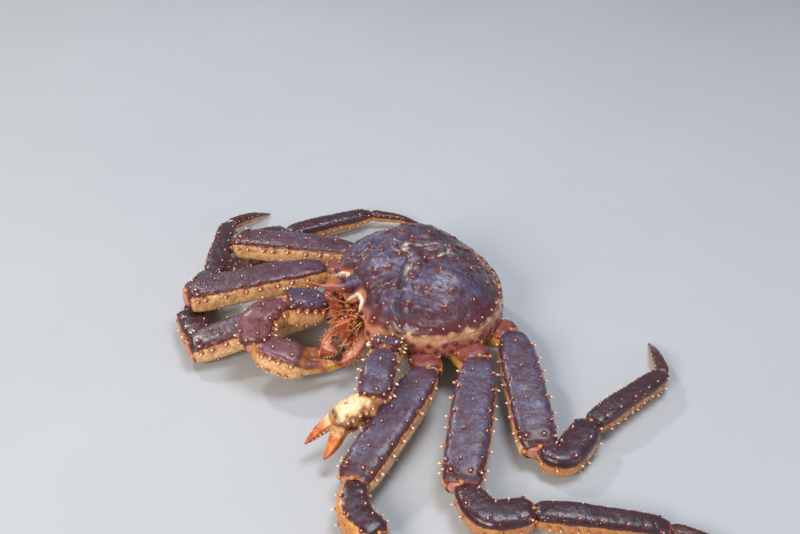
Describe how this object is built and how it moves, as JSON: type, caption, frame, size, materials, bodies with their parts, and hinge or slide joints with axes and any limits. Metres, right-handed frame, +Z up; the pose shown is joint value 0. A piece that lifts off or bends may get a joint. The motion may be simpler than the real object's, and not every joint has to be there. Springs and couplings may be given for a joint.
{
  "type": "red king crab",
  "caption": "Life-size model of a red king crab at rest: spiny domed shell, folded walking legs, two unequal claws, eyes, feelers and mouthparts.",
  "frame": {"origin": "on the floor under the middle of the body, at the belly's flat", "axes": "+Z up from the floor, -Y the way the crab faces, +X its left side"},
  "size_m": [0.7591, 0.4902, 0.1111],
  "materials": {
    "shell": "wet purple-brown shell with ivory-tipped spines",
    "limb_shell": "wet purple-brown shell, cream below, with ivory-tipped spines",
    "claw_shell": "cream and orange-brown shell with pale spines",
    "tip_horn": "orange to dark brown horn, darkest at the tip",
    "joint_skin": "cream and yellow-orange shell and pink joint skin",
    "underside": "cream underside plates",
    "mouthparts": "bright orange-red mouthparts and feelers",
    "eye": "black glossy eye on an orange stalk"
  },
  "bodies": {
    "root": {"abdomen": "underside", "antenna_left": "mouthparts", "antenna_right": "mouthparts", "antennule_left": "mouthparts", "antennule_right": "mouthparts", "carapace": "shell", "claw_left_base": "joint_skin", "claw_left_carpus": "limb_shell", "claw_left_finger": "tip_horn", "claw_left_merus": "limb_shell", "claw_left_palm": "claw_shell", "claw_right_base": "joint_skin", "claw_right_carpus": "limb_shell", "claw_right_finger": "tip_horn", "claw_right_merus": "limb_shell", "claw_right_palm": "claw_shell", "eye_left": "eye", "eye_right": "eye", "leg_left_1_base": "joint_skin", "leg_left_1_carpus": "limb_shell", "leg_left_1_dactylus": "tip_horn", "leg_left_1_merus": "limb_shell", "leg_left_1_propodus": "limb_shell", "leg_left_2_base": "joint_skin", "leg_left_2_carpus": "limb_shell", "leg_left_2_dactylus": "tip_horn", "leg_left_2_merus": "limb_shell", "leg_left_2_propodus": "limb_shell", "leg_left_3_base": "joint_skin", "leg_left_3_carpus": "limb_shell", "leg_left_3_dactylus": "tip_horn", "leg_left_3_merus": "limb_shell", "leg_left_3_propodus": "limb_shell", "leg_right_1_base": "joint_skin", "leg_right_1_carpus": "limb_shell", "leg_right_1_dactylus": "tip_horn", "leg_right_1_merus": "limb_shell", "leg_right_1_propodus": "limb_shell", "leg_right_2_base": "joint_skin", "leg_right_2_carpus": "limb_shell", "leg_right_2_dactylus": "tip_horn", "leg_right_2_merus": "limb_shell", "leg_right_2_propodus": "limb_shell", "leg_right_3_base": "joint_skin", "leg_right_3_carpus": "limb_shell", "leg_right_3_dactylus": "tip_horn", "leg_right_3_merus": "limb_shell", "leg_right_3_propodus": "limb_shell", "maxilliped_left": "mouthparts", "maxilliped_right": "mouthparts", "mouth_frame": "mouthparts", "sternum": "underside"}
  },
  "joints": []
}
